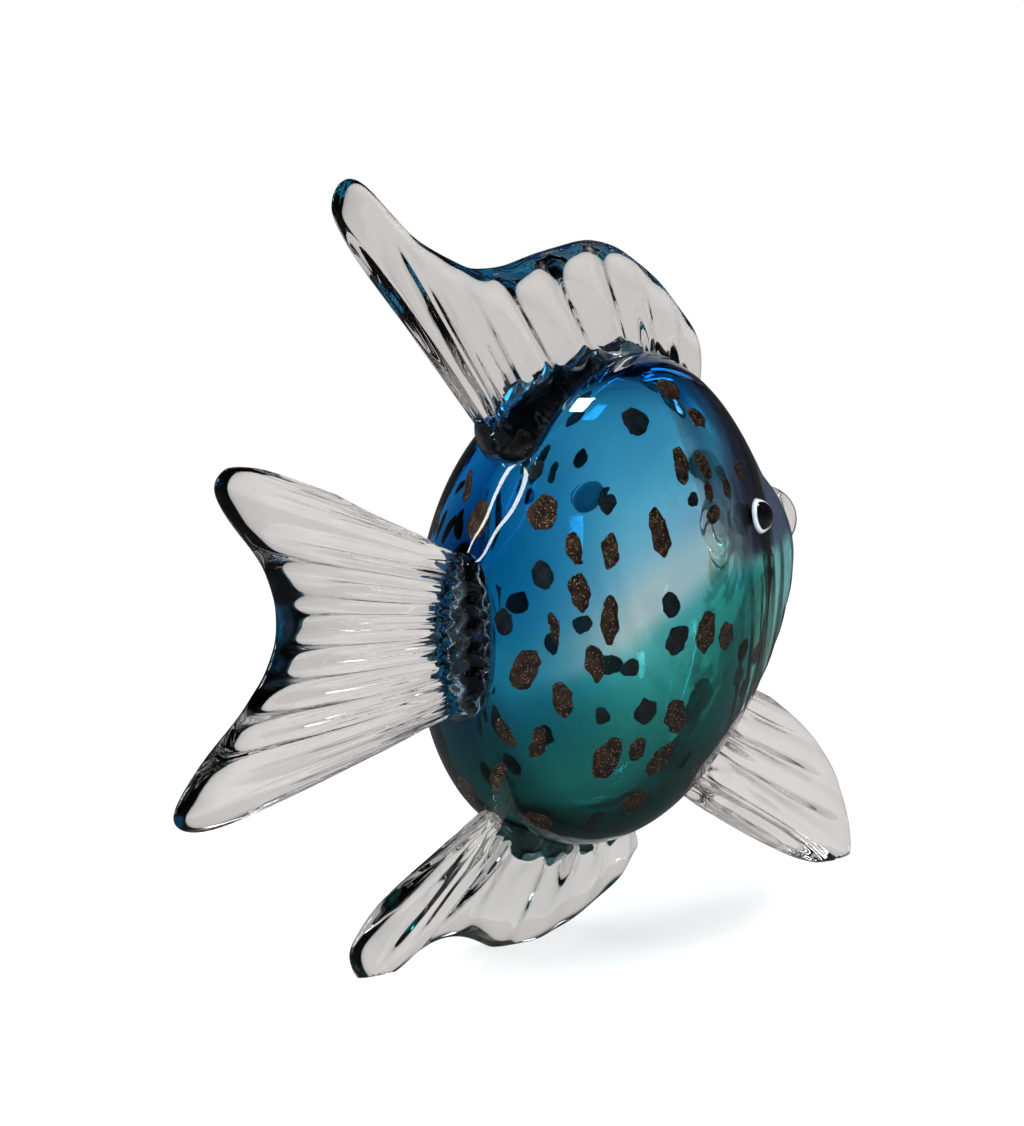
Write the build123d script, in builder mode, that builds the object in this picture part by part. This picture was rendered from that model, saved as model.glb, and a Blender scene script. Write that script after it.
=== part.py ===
from build123d import *
import os
from math import cos, radians, sin

os.makedirs("parts", exist_ok=True)

# A hot-worked glass fish: a blown bubble in layers, with fins, lips and eyes put on while hot.
# Millimetres. The nose points along +X, the crown along +Z and the left flank along +Y.
# The origin is on the ground, under the middle of the fish.

# Blown body, from the skin inwards
body_length = 114.0
body_height = 122.0
body_thickness = 73.0
body_back_x = -28.6       # where the tail is joined on
belly_z = 21.6            # the lowest point of the belly above the ground
casing_wall = 4.0         # clear outer gather
colour_wall = 1.6         # blue and teal glass
bubble_wall = 2.6         # clear inner gather
head_block = 16.0         # extra solid glass in the head, ahead of the bubble
colour_split_back_z = 58.0
colour_split_front_z = 102.0

# Chips, pressed into the clear gather
chip_length = 10.0
chip_width = 5.6
chip_thickness = 1.0
chip_depth = 2.3          # from the skin to the middle of a chip

rays_per_pull = 8         # a fin is lofted in runs of this many rays

# Dorsal fin
dorsal_front_x = 58.5
dorsal_low_z = 117.0
dorsal_length = 130.0
dorsal_height = 71.0
dorsal_thickness = 12.0
dorsal_foot_height = 16.0
dorsal_foot_width = 17.0

# Tail fin, with the thick foot that joins it to the body
tail_start_x = -20.0
tail_low_z = 46.6
tail_length = 102.0
tail_height = 80.0
tail_thickness = 10.5
tail_foot_height = 41.0
tail_foot_width = 16.0
tail_foot_length = 15.0
tail_foot_z = 79.0

# Anal fin, one of the two that the fish stands on
anal_front_x = 35.0
anal_length = 96.0
anal_height = 37.0
anal_thickness = 13.0
anal_foot_height = 12.0
anal_foot_width = 13.0
anal_lean = 7.0           # how far its tip curls to the left

# Front fin, the other one
front_start_x = 46.0
front_length = 76.0
front_height = 53.0
front_thickness = 9.0
front_splay = 8.4         # how far its lower edge stands to the right

# Lips, one ring of clear glass round the mouth
lip_width = 20.0
lip_height = 18.0
lip_length = 14.0
lip_back_x = 78.2
lip_z = 95.0
lip_round = 5.2
mouth_width = 9.0
mouth_height = 5.6
mouth_depth = 4.0

# Eyes
eye_x = 47.2
eye_z = 102.7
eye_radius = 4.5
eye_sink = 1.6            # how far the bead's middle lies under the skin
pupil_radius = 3.5
pupil_rise = 0.6          # how far the pupil's middle stands above the skin

body_nose_x = body_back_x + body_length
body_middle = Vector(body_back_x + body_length / 2, 0, belly_z + body_height / 2)

# Sections of the body: place along it, crown, belly and half thickness.
body_shares = (
    (0.000, 0.628, 0.313, 0.138),
    (0.020, 0.667, 0.233, 0.212),
    (0.055, 0.720, 0.151, 0.293),
    (0.140, 0.846, 0.057, 0.411),
    (0.300, 0.954, 0.000, 0.493),
    (0.500, 1.000, 0.008, 0.499),
    (0.680, 0.946, 0.095, 0.427),
    (0.830, 0.792, 0.236, 0.333),
    (0.940, 0.700, 0.400, 0.225),
    (1.000, 0.625, 0.500, 0.112),
)

# Dorsal rays, from the front to the tip: foot back and up, edge back and up, thickness.
# A thick ray is a ridge and a thin one a valley, here and in the other fins.
dorsal_shares = (
    (0.019, 0.113, 0.000, 0.268, 0.292),
    (0.031, 0.113, 0.008, 0.366, 0.583),
    (0.046, 0.113, 0.038, 0.451, 0.875),
    (0.065, 0.113, 0.085, 0.535, 0.708),
    (0.085, 0.113, 0.142, 0.620, 0.958),
    (0.115, 0.120, 0.204, 0.690, 0.708),
    (0.146, 0.127, 0.265, 0.739, 1.000),
    (0.181, 0.141, 0.335, 0.761, 0.733),
    (0.219, 0.148, 0.404, 0.746, 1.000),
    (0.265, 0.148, 0.481, 0.725, 0.750),
    (0.312, 0.141, 0.550, 0.697, 1.000),
    (0.358, 0.113, 0.608, 0.690, 0.767),
    (0.400, 0.085, 0.658, 0.697, 1.000),
    (0.435, 0.056, 0.712, 0.732, 0.800),
    (0.462, 0.035, 0.781, 0.786, 1.000),
    (0.485, 0.021, 0.842, 0.859, 0.767),
    (0.504, 0.011, 0.896, 0.944, 0.917),
    (0.515, 0.004, 0.942, 1.000, 0.717),
    (0.527, 0.000, 0.981, 0.993, 0.783),
    (0.538, 0.000, 1.000, 0.937, 0.617),
    (0.665, 0.268, 0.992, 0.880, 0.467),
    (0.758, 0.423, 0.962, 0.796, 0.200),
)

# Ovals of the dorsal's foot: degrees up from the nose, half height and half width.
dorsal_foot_shares = (
    (60, 0.16, 0.18),
    (68, 0.26, 0.26),
    (80, 0.30, 0.30),
    (95, 0.33, 0.33),
    (110, 0.40, 0.38),
    (124, 0.50, 0.47),
    (133, 0.50, 0.50),
    (138, 0.38, 0.40),
    (140.5, 0.18, 0.20),
)

# Tail rays, from the top to the bottom: foot back and up, edge back and up, thickness.
tail_shares = (
    (0.490, 0.877, 0.721, 0.982, 0.210),
    (0.373, 0.805, 0.775, 0.996, 0.419),
    (0.235, 0.730, 0.819, 1.000, 0.571),
    (0.118, 0.661, 0.846, 0.988, 0.686),
    (0.000, 0.593, 0.866, 0.940, 0.914),
    (0.000, 0.568, 0.826, 0.855, 0.667),
    (0.000, 0.542, 0.779, 0.790, 1.000),
    (0.000, 0.517, 0.735, 0.724, 0.667),
    (0.000, 0.492, 0.706, 0.661, 1.000),
    (0.000, 0.467, 0.691, 0.602, 0.667),
    (0.000, 0.443, 0.686, 0.546, 1.000),
    (0.000, 0.417, 0.692, 0.492, 0.667),
    (0.000, 0.392, 0.706, 0.443, 1.000),
    (0.000, 0.367, 0.730, 0.395, 0.667),
    (0.000, 0.342, 0.763, 0.348, 1.000),
    (0.000, 0.318, 0.804, 0.299, 0.667),
    (0.000, 0.295, 0.851, 0.251, 1.000),
    (0.000, 0.273, 0.900, 0.205, 0.667),
    (0.000, 0.252, 0.946, 0.150, 0.952),
    (0.000, 0.233, 0.986, 0.095, 0.724),
    (0.000, 0.212, 0.998, 0.045, 0.762),
    (0.098, 0.190, 0.961, 0.008, 0.629),
    (0.216, 0.158, 0.873, 0.000, 0.438),
    (0.353, 0.117, 0.755, 0.025, 0.210),
)

# Sections of the tail's foot: place along it from the body outwards, half height, half width.
tail_foot_shares = (
    (0.00, 0.440, 0.440),
    (0.24, 0.500, 0.500),
    (0.50, 0.480, 0.440),
    (0.76, 0.440, 0.310),
    (1.00, 0.400, 0.180),
)

# Anal fin rays, from the front to the tip: foot back and up, edge back and up, lean, thickness.
anal_shares = (
    (0.052, 0.716, 0.000, 0.392, 0.114, 0.385),
    (0.068, 0.757, 0.040, 0.311, 0.157, 0.654),
    (0.089, 0.784, 0.094, 0.216, 0.200, 0.923),
    (0.125, 0.811, 0.172, 0.116, 0.243, 0.738),
    (0.161, 0.811, 0.266, 0.032, 0.286, 1.000),
    (0.208, 0.811, 0.344, -0.016, 0.314, 0.846),
    (0.260, 0.824, 0.427, -0.059, 0.343, 1.038),
    (0.312, 0.851, 0.505, -0.043, 0.371, 0.846),
    (0.365, 0.878, 0.594, 0.070, 0.429, 1.000),
    (0.406, 0.905, 0.682, 0.135, 0.543, 0.769),
    (0.438, 0.932, 0.771, 0.108, 0.714, 0.962),
    (0.458, 0.946, 0.844, 0.011, 0.886, 0.769),
    (0.474, 0.946, 0.901, -0.051, 0.971, 0.846),
    (0.484, 0.959, 0.958, -0.032, 1.000, 0.738),
    (0.495, 0.986, 1.000, 0.124, 0.943, 0.615),
    (0.510, 1.000, 0.994, 0.249, 0.800, 0.523),
    (0.594, 0.886, 0.953, 0.395, 0.629, 0.385),
    (0.688, 0.773, 0.885, 0.535, 0.486, 0.169),
)

# Ovals of the anal fin's foot, as the dorsal's.
anal_foot_shares = (
    (-83, 0.20, 0.20),
    (-90, 0.32, 0.30),
    (-100, 0.38, 0.36),
    (-112, 0.46, 0.44),
    (-122, 0.50, 0.50),
    (-128, 0.38, 0.40),
    (-131, 0.20, 0.20),
)

# Front fin rays, from the lower edge to the upper: foot on and up, edge on and up, splay of
# the foot and of the edge, thickness.
front_shares = (
    (0.289, 0.368, 0.539, 0.147, 0.881, 1.000, 0.267),
    (0.158, 0.481, 0.658, 0.072, 0.595, 1.000, 0.600),
    (0.000, 0.642, 0.776, 0.004, 0.262, 0.929, 1.000),
    (0.020, 0.689, 0.875, -0.036, 0.226, 0.869, 0.778),
    (0.046, 0.736, 0.945, -0.023, 0.190, 0.774, 1.044),
    (0.072, 0.783, 0.987, 0.060, 0.143, 0.595, 0.800),
    (0.105, 0.830, 1.000, 0.170, 0.095, 0.357, 1.022),
    (0.145, 0.877, 0.991, 0.279, 0.036, 0.190, 0.778),
    (0.184, 0.921, 0.961, 0.404, -0.024, 0.000, 1.000),
    (0.230, 0.958, 0.908, 0.532, -0.071, -0.119, 0.778),
    (0.283, 0.985, 0.833, 0.638, -0.119, -0.190, 0.889),
    (0.355, 0.992, 0.745, 0.743, -0.179, -0.238, 0.600),
    (0.447, 0.970, 0.645, 0.849, -0.226, -0.262, 0.267),
)

# Outlines of a chip, half its length and width either side of its middle.
chip_outline_shares = (
    ((0.50, 0.06), (0.28, 0.46), (-0.22, 0.50), (-0.50, 0.10), (-0.34, -0.38), (0.20, -0.50)),
    ((0.50, -0.10), (0.24, 0.38), (-0.12, 0.50), (-0.50, 0.20), (-0.40, -0.36), (0.10, -0.50)),
    ((0.50, 0.20), (0.06, 0.50), (-0.42, 0.32), (-0.50, -0.14), (-0.04, -0.50), (0.40, -0.30)),
)

# Copper chips of the right flank, as seen from the body's middle: degrees round from square to
# the flank towards the nose, degrees up, length, width, turn in degrees.
copper_shares = (
    (-8, 72, 0.68, 1.20, 30),
    (5, 64, 0.60, 1.10, -30),
    (-101, 33, 0.90, 0.55, 24),
    (-113, 23, 0.78, 0.60, 16),
    (-91, 25, 1.00, 1.20, 10),
    (-73, 29, 0.92, 1.24, -16),
    (-87, 46, 0.60, 1.00, 40),
    (-63, 21, 0.86, 0.72, 12),
    (-53, 21, 0.90, 0.74, -14),
    (-61, 9, 0.92, 0.82, 8),
    (-53, 2, 1.24, 0.78, -6),
    (-67, 0, 0.78, 0.50, 10),
    (-74, -11, 1.08, 1.10, -18),
    (-57, -10, 0.92, 0.80, 14),
    (-65, -19, 0.92, 0.90, 6),
    (-72, -29, 0.90, 0.72, -12),
    (-80, -26, 0.74, 0.62, 20),
    (-84, -37, 0.96, 0.66, -34),
    (-99, -42, 0.84, 1.00, -24),
    (-78, -50, 0.82, 0.94, 26),
    (-36, 28, 1.30, 0.96, 4),
    (-21, 50, 1.00, 0.84, -8),
    (-6, 51, 0.74, 0.84, 12),
    (-7, 43, 0.56, 0.72, -20),
    (-7, 35, 0.52, 0.90, 30),
    (8, 44, 0.66, 0.60, 6),
    (-16, -7, 1.12, 1.20, -16),
    (-3, -11, 0.70, 1.16, 20),
    (-54, -37, 1.12, 1.40, -14),
    (-44, -39, 0.70, 0.96, 18),
    (-34, -46, 0.96, 1.16, -24),
    (-29, -34, 0.92, 1.26, 30),
    (-44, -57, 0.80, 1.40, 12),
    (-3, -59, 0.62, 0.88, -20),
    (31, -23, 0.56, 1.10, 8),
    (44, -38, 0.52, 1.20, -16),
    (24, 47, 0.60, 0.80, 14),
    (40, 30, 0.56, 0.76, -10),
)

# Dark chips of the right flank, in the same terms.
dark_shares = (
    (-43, 60, 0.80, 1.24, 20),
    (-78, 40, 0.60, 0.72, -24),
    (-54, 34, 0.50, 0.78, 0),
    (-71, 13, 0.74, 0.84, 12),
    (-79, 1, 0.60, 0.86, -10),
    (-33, 5, 0.72, 1.00, 8),
    (-30, -7, 0.80, 1.14, -30),
    (-47, -13, 0.46, 0.82, 16),
    (-55, -25, 0.50, 0.74, -6),
    (-42, -28, 0.70, 1.10, 24),
    (-60, -56, 0.70, 0.76, -18),
    (-18, 40, 0.36, 0.70, 0),
    (14, -30, 0.60, 0.80, 12),
)
chip_mirror_limit_share = 0.72   # chips nearer the tail's axis than this are not repeated on the left


def body_form(inset, block=0.0):
    """The body drawn in by inset, less so towards its ends, and by block more at the nose."""
    length = body_length - 2 * inset - block
    with BuildPart() as form:
        for along, crown, belly, half in body_shares:
            wall = inset * (2 * half) ** 0.5
            middle_z = belly_z + (crown + belly) / 2 * body_height
            place = (body_back_x + inset + along * length, 0, middle_z)
            with BuildSketch(Plane(origin=place, x_dir=(0, 1, 0), z_dir=(1, 0, 0))):
                Ellipse(half * body_thickness - wall, (crown - belly) / 2 * body_height - wall)
        loft()
    return form.part


def blade(rays):
    """A pulled fin: an oval section along each ray, from its foot to its edge."""
    places = []
    for number, (foot, edge, thickness) in enumerate(rays):
        last = rays[max(number - 1, 0)][1]
        following = rays[min(number + 1, len(rays) - 1)][1]
        ray = edge - foot
        facing = ray.cross(following - last)
        plane = Plane((foot + edge) / 2, x_dir=ray, z_dir=ray.cross(facing))
        places.append((plane, ray.length / 2, thickness / 2))
    with BuildPart() as fin:
        for start in range(0, len(places) - 1, rays_per_pull):
            for plane, half_length, half_thickness in places[start:start + rays_per_pull + 1]:
                with BuildSketch(plane):
                    Ellipse(half_length, half_thickness)
            loft(ruled=True)
    return fin.part


def skin_place(form, start, direction):
    """The plane that lies on a form where a line from inside it comes out."""
    point, normal = form.find_intersection_points(Axis(start, direction))[-1]
    return Plane(origin=point, x_dir=Vector(0, 0, 1).cross(normal), z_dir=normal)


def foot(shares, height, width):
    """The thick roll along the skin by which a fin is fused on, through ovals round the body."""
    with BuildPart() as roll:
        for round_degrees, half_height, half_width in shares:
            turn = radians(round_degrees)
            seat = skin_place(skin, body_middle, Vector(cos(turn), 0, sin(turn)))
            along = Vector(0, 1, 0).cross(seat.z_dir)
            with BuildSketch(Plane(origin=seat.origin, x_dir=(0, 1, 0), z_dir=along)):
                Ellipse(half_width * width, half_height * height)
        loft()
    return roll.part


def chip(round_degrees, up_degrees, length, width, turn, number):
    """One flat chip that lies along the body's skin."""
    level, rise = radians(round_degrees), radians(up_degrees)
    direction = Vector(sin(level) * cos(rise), -cos(level) * cos(rise), sin(rise))
    place = skin_place(chip_skin, body_middle, direction)
    outline = chip_outline_shares[number % len(chip_outline_shares)]
    points = [(across * width * chip_width, up * length * chip_length) for up, across in outline]
    with BuildPart() as flake:
        with BuildSketch(Plane(place.location * Rotation(0, 0, turn))):
            with BuildLine():
                Polyline(*points, close=True)
            make_face()
        extrude(amount=chip_thickness / 2, both=True)
    return flake.part


def chips(shares):
    """Both flanks' chips, as separate solids."""
    flakes = [chip(*row, number) for number, row in enumerate(shares)]
    flakes += [
        flake.mirror(Plane.XZ)
        for flake, row in zip(flakes, shares)
        if abs(row[0]) < chip_mirror_limit_share * 90
    ]
    return Compound(children=flakes)


skin = body_form(0)
casing_inside = body_form(casing_wall)
colour_inside = body_form(casing_wall + colour_wall)
bubble_inside = body_form(casing_wall + colour_wall + bubble_wall, head_block)
chip_skin = body_form(chip_depth)

copper_chips = chips(copper_shares)
copper_chips.label = "copper_chips"
export_step(copper_chips, "parts/copper_chips.step")

dark_chips = chips(dark_shares)
dark_chips.label = "dark_chips"
export_step(dark_chips, "parts/dark_chips.step")

# The clear casing, the two coloured halves inside it and the clear bubble inside them.
with BuildPart() as clear_casing:
    add(skin)
    add(casing_inside, mode=Mode.SUBTRACT)
    add(copper_chips.solids(), mode=Mode.SUBTRACT)
    add(dark_chips.solids(), mode=Mode.SUBTRACT)
clear_casing.part.label = "clear_casing"
export_step(clear_casing.part, "parts/clear_casing.step")

split_rise = colour_split_front_z - colour_split_back_z
colour_split = Plane(
    origin=(body_back_x, 0, colour_split_back_z),
    x_dir=(body_length, 0, split_rise),
    z_dir=(-split_rise, 0, body_length),
)

with BuildPart() as blue_layer:
    add(casing_inside)
    add(colour_inside, mode=Mode.SUBTRACT)
    split(bisect_by=colour_split, keep=Keep.TOP)
blue_layer.part.label = "blue_layer"
export_step(blue_layer.part, "parts/blue_layer.step")

with BuildPart() as teal_layer:
    add(casing_inside)
    add(colour_inside, mode=Mode.SUBTRACT)
    split(bisect_by=colour_split, keep=Keep.BOTTOM)
teal_layer.part.label = "teal_layer"
export_step(teal_layer.part, "parts/teal_layer.step")

with BuildPart() as inner_bubble:
    add(colour_inside)
    add(bubble_inside, mode=Mode.SUBTRACT)
inner_bubble.part.label = "inner_bubble"
export_step(inner_bubble.part, "parts/inner_bubble.step")

# Fins, each cut to the skin that it is fused to.
dorsal_rays = [
    (
        Vector(dorsal_front_x - back * dorsal_length, 0, dorsal_low_z + up * dorsal_height),
        Vector(dorsal_front_x - edge_back * dorsal_length, 0, dorsal_low_z + edge_up * dorsal_height),
        thick * dorsal_thickness,
    )
    for back, up, edge_back, edge_up, thick in dorsal_shares
]
with BuildPart() as dorsal_fin:
    add(blade(dorsal_rays))
    add(foot(dorsal_foot_shares, dorsal_foot_height, dorsal_foot_width))
    add(skin, mode=Mode.SUBTRACT)
dorsal_fin.part.label = "dorsal_fin"
export_step(dorsal_fin.part, "parts/dorsal_fin.step")

tail_rays = [
    (
        Vector(tail_start_x - back * tail_length, 0, tail_low_z + up * tail_height),
        Vector(tail_start_x - edge_back * tail_length, 0, tail_low_z + edge_up * tail_height),
        thick * tail_thickness,
    )
    for back, up, edge_back, edge_up, thick in tail_shares
]
with BuildPart() as tail_foot:
    for out, half_height, half_width in tail_foot_shares:
        place = (body_back_x + casing_wall - out * tail_foot_length, 0, tail_foot_z)
        with BuildSketch(Plane(origin=place, x_dir=(0, 1, 0), z_dir=(-1, 0, 0))):
            Ellipse(half_width * tail_foot_width, half_height * tail_foot_height)
    loft(ruled=True)
with BuildPart() as tail_fin:
    add(blade(tail_rays))
    add(tail_foot.part)
    add(skin, mode=Mode.SUBTRACT)
tail_fin.part.label = "tail_fin"
export_step(tail_fin.part, "parts/tail_fin.step")

anal_rays = [
    (
        Vector(anal_front_x - back * anal_length, 0, up * anal_height),
        Vector(anal_front_x - edge_back * anal_length, lean * anal_lean, edge_up * anal_height),
        thick * anal_thickness,
    )
    for back, up, edge_back, edge_up, lean, thick in anal_shares
]
with BuildPart() as anal_fin:
    add(blade(anal_rays))
    add(foot(anal_foot_shares, anal_foot_height, anal_foot_width))
    add(skin, mode=Mode.SUBTRACT)
    split(bisect_by=Plane.XY, keep=Keep.TOP)
anal_fin.part.label = "anal_fin"
export_step(anal_fin.part, "parts/anal_fin.step")

front_rays = [
    (
        Vector(front_start_x + on * front_length, -splay * front_splay, up * front_height),
        Vector(
            front_start_x + edge_on * front_length, -edge_splay * front_splay, edge_up * front_height
        ),
        thick * front_thickness,
    )
    for on, up, edge_on, edge_up, splay, edge_splay, thick in front_shares
]
with BuildPart() as front_fin:
    add(blade(front_rays))
    add(skin, mode=Mode.SUBTRACT)
    split(bisect_by=Plane.XY, keep=Keep.TOP)
front_fin.part.label = "front_fin"
export_step(front_fin.part, "parts/front_fin.step")

# Lips: a rounded oval of clear glass over the nose, with the mouth pressed into its front.
lip_back = Plane(origin=(lip_back_x, 0, lip_z), x_dir=(0, 1, 0), z_dir=(1, 0, 0))
with BuildPart() as lips:
    with BuildSketch(lip_back):
        Ellipse(lip_width / 2, lip_height / 2)
    extrude(amount=lip_length)
    fillet(lips.edges().sort_by(Axis.X)[-1], radius=lip_round)
    with BuildSketch(lip_back.offset(lip_length)):
        Ellipse(mouth_width / 2, mouth_height / 2)
    extrude(amount=-mouth_depth, taper=24, mode=Mode.SUBTRACT)
    add(skin, mode=Mode.SUBTRACT)
lips.part.label = "lips"
export_step(lips.part, "parts/lips.step")

# Eyes: a white bead on each flank and a black one on it.
eye_place = skin_place(skin, Vector(eye_x, 0, eye_z), Vector(0, -1, 0))
with BuildPart() as right_eye_white:
    with Locations(eye_place.offset(-eye_sink)):
        Sphere(eye_radius)
    add(skin, mode=Mode.SUBTRACT)
with BuildPart() as right_pupil:
    with Locations(eye_place.offset(pupil_rise)):
        Sphere(pupil_radius)
    with Locations(eye_place.offset(-eye_sink)):
        Sphere(eye_radius, mode=Mode.SUBTRACT)
    add(skin, mode=Mode.SUBTRACT)
for name, piece in (("eye_white", right_eye_white.part), ("pupil", right_pupil.part)):
    piece.label = "right_" + name
    export_step(piece, "parts/" + piece.label + ".step")
    left_piece = piece.mirror(Plane.XZ)
    left_piece.label = "left_" + name
    export_step(left_piece, "parts/" + left_piece.label + ".step")
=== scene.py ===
# %% [markdown]
# # A hot-worked glass fish
#
# The fish is blown and pulled from hot glass. A hollow body has a thin film of blue glass above and
# teal glass below, chips of copper glass lie under its skin, and clear fins, lips and eye beads are
# put on while everything is soft. This file dresses the CAD model of that fish: it rebuilds each
# clear piece as one smooth skin, because glass shows every facet, and gives each its own glass.
#
# Lengths are metres, as in the frame. The fish looks along +X, its crown is +Z, and its left
# flank is +Y.

from math import cos, pi, radians, sin

import bmesh
import bpy
import numpy as np
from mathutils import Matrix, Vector
from mathutils.bvhtree import BVHTree


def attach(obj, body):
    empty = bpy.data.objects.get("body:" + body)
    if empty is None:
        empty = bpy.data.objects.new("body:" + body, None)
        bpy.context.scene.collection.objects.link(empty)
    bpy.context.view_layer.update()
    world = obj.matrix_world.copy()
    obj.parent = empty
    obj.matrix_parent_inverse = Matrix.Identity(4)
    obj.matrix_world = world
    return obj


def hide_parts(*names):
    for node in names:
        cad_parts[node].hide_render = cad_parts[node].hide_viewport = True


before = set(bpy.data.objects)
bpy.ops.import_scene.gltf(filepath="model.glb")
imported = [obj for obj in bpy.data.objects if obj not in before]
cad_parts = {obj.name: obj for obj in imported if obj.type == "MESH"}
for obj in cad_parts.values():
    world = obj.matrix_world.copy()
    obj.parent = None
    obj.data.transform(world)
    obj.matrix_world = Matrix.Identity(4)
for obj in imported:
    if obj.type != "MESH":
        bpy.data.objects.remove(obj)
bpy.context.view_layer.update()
mm = 0.001

# %% [markdown]
# A few small helpers are used all through the file. Colours are written as the hex values a painter
# would pick, and turned linear once. Every shader and geometry tree is built by the same function,
# which adds one node with its settings and its links. The last helpers turn points and faces into a
# mesh, and put a finished piece on the fish's one body in place of its CAD nodes.

# %% Helpers for trees
def linear(colour):
    """An sRGB hex value as linear red, green, blue and alpha."""
    channels = [int(colour[at : at + 2], 16) / 255 for at in (1, 3, 5)]
    return (*[c / 12.92 if c <= 0.04045 else ((c + 0.055) / 1.055) ** 2.4 for c in channels], 1)


def add_node(tree, kind, settings=None, **inputs):
    """A new node: settings are its own properties, and inputs are values or sockets to link."""
    node = tree.nodes.new(kind)
    for name, value in (settings or {}).items():
        setattr(node, name, value)
    for name, value in inputs.items():
        key = int(name[1:]) if name[0] == "_" else name.replace("_", " ")
        socket = node.inputs[key]
        if isinstance(value, bpy.types.NodeSocket):
            tree.links.new(value, socket)
        else:
            socket.default_value = value
    return node


def position(tree):
    """The place on the piece, in metres, as a socket."""
    return add_node(tree, "ShaderNodeTexCoord").outputs["Object"]


def axes_of(tree, place):
    """The X, Y and Z of a place, as sockets."""
    node = add_node(tree, "ShaderNodeSeparateXYZ", _0=place)
    return [node.outputs[axis] for axis in "XYZ"]


def ramp_between(tree, value, low, high):
    """A smooth step of a value, from 0 at low to 1 at high, as a socket."""
    settings = {"interpolation_type": "SMOOTHSTEP"}
    inputs = {"Value": value, "From_Min": low, "From_Max": high}
    return add_node(tree, "ShaderNodeMapRange", settings, **inputs).outputs[0]


def calculate(tree, operation, *values):
    """One sum, as a socket."""
    inputs = {f"_{number}": value for number, value in enumerate(values)}
    return add_node(tree, "ShaderNodeMath", {"operation": operation}, **inputs).outputs[0]


def calculate_vector(tree, operation, *values, **inputs):
    """One sum of vectors, as a socket."""
    inputs.update({f"_{number}": value for number, value in enumerate(values)})
    node = add_node(tree, "ShaderNodeVectorMath", {"operation": operation}, **inputs)
    return node.outputs["Value" if operation == "LENGTH" else "Vector"]


def noise(tree, place, scale, detail, **inputs):
    """The value of a cloud of noise, as a socket."""
    inputs.update(Vector=place, Scale=scale, Detail=detail)
    return add_node(tree, "ShaderNodeTexNoise", **inputs).outputs[0]


def mix_colour(tree, share, first, second, blend="MIX"):
    """Two colours mixed, as a socket. Each is a hex value or a socket."""
    first, second = (linear(c) if isinstance(c, str) else c for c in (first, second))
    settings = {"data_type": "RGBA", "blend_type": blend}
    return add_node(tree, "ShaderNodeMix", settings, _0=share, _6=first, _7=second).outputs[2]


def mix_shader(tree, share, first, second):
    """Two surfaces or backgrounds mixed, as a socket."""
    return add_node(tree, "ShaderNodeMixShader", _0=share, _1=first, _2=second).outputs[0]


def colour_stops(tree, value, low, high, stops):
    """The colour at a value, through stops at values from low to high. The two ends come first."""
    ramp = tree.nodes.new("ShaderNodeValToRGB")
    elements = ramp.color_ramp.elements
    for number, (at, colour) in enumerate(stops):
        share = (at - low) / (high - low)
        element = elements[number] if number < 2 else elements.new(share)
        element.position, element.color = share, linear(colour)
    share = add_node(tree, "ShaderNodeMapRange", Value=value, From_Min=low, From_Max=high)
    tree.links.new(share.outputs[0], ramp.inputs[0])
    return ramp.outputs[0]


def geometry_tree(name, *sizes):
    """A geometry tree, its start and its end. Sizes are its other inputs, as names and values."""
    tree = bpy.data.node_groups.new(name, "GeometryNodeTree")
    sockets = tree.interface
    sockets.new_socket("Geometry", in_out="INPUT", socket_type="NodeSocketGeometry")
    for title, value in sizes:
        socket = sockets.new_socket(title, in_out="INPUT", socket_type="NodeSocketFloat")
        socket.default_value = value
    sockets.new_socket("Geometry", in_out="OUTPUT", socket_type="NodeSocketGeometry")
    return tree, tree.nodes.new("NodeGroupInput"), tree.nodes.new("NodeGroupOutput")


def named(tree, name, kind="FLOAT"):
    """What the points carry under a name, as a socket."""
    settings = {"data_type": kind}
    return add_node(tree, "GeometryNodeInputNamedAttribute", settings, Name=name).outputs[0]


def new_material(name):
    """An empty node material and its output node."""
    material = bpy.data.materials.new(name)
    material.use_nodes = True
    material.node_tree.nodes.clear()
    return material, material.node_tree, material.node_tree.nodes.new("ShaderNodeOutputMaterial")


def glass_surface(tree, colour, index):
    """A polished surface that light passes."""
    return add_node(
        tree,
        "ShaderNodeBsdfPrincipled",
        Base_Color=colour,
        Roughness=0.0,
        IOR=index,
        Transmission_Weight=1.0,
    )


# %% Helpers for meshes
def new_piece(name, points, faces, *materials):
    """A smooth mesh in the scene, with its materials."""
    mesh = bpy.data.meshes.new(name)
    mesh.from_pydata([tuple(p) for p in points], [], faces)
    mesh.shade_smooth()
    for material in materials:
        mesh.materials.append(material)
    piece = bpy.data.objects.new(name, mesh)
    bpy.context.scene.collection.objects.link(piece)
    return piece


def outwards(piece):
    """Makes a closed mesh's faces point out."""
    shape = bmesh.new()
    shape.from_mesh(piece.data)
    bmesh.ops.recalc_face_normals(shape, faces=shape.faces)
    shape.to_mesh(piece.data)
    shape.free()


def apply_modifiers(piece):
    """Makes what a piece's modifiers give its plain mesh."""
    evaluated = piece.evaluated_get(bpy.context.evaluated_depsgraph_get())
    made = bpy.data.meshes.new_from_object(evaluated)
    piece.modifiers.clear()
    piece.data = made


def islands(shape):
    """The connected parts of a bmesh, each as a list of vertex numbers."""
    shape.verts.ensure_lookup_table()
    left, found = set(range(len(shape.verts))), []
    while left:
        todo, island = [left.pop()], []
        while todo:
            here = todo.pop()
            island.append(here)
            for edge in shape.verts[here].link_edges:
                there = edge.other_vert(shape.verts[here]).index
                if there in left:
                    left.remove(there)
                    todo.append(there)
        found.append(island)
    return found


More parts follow.
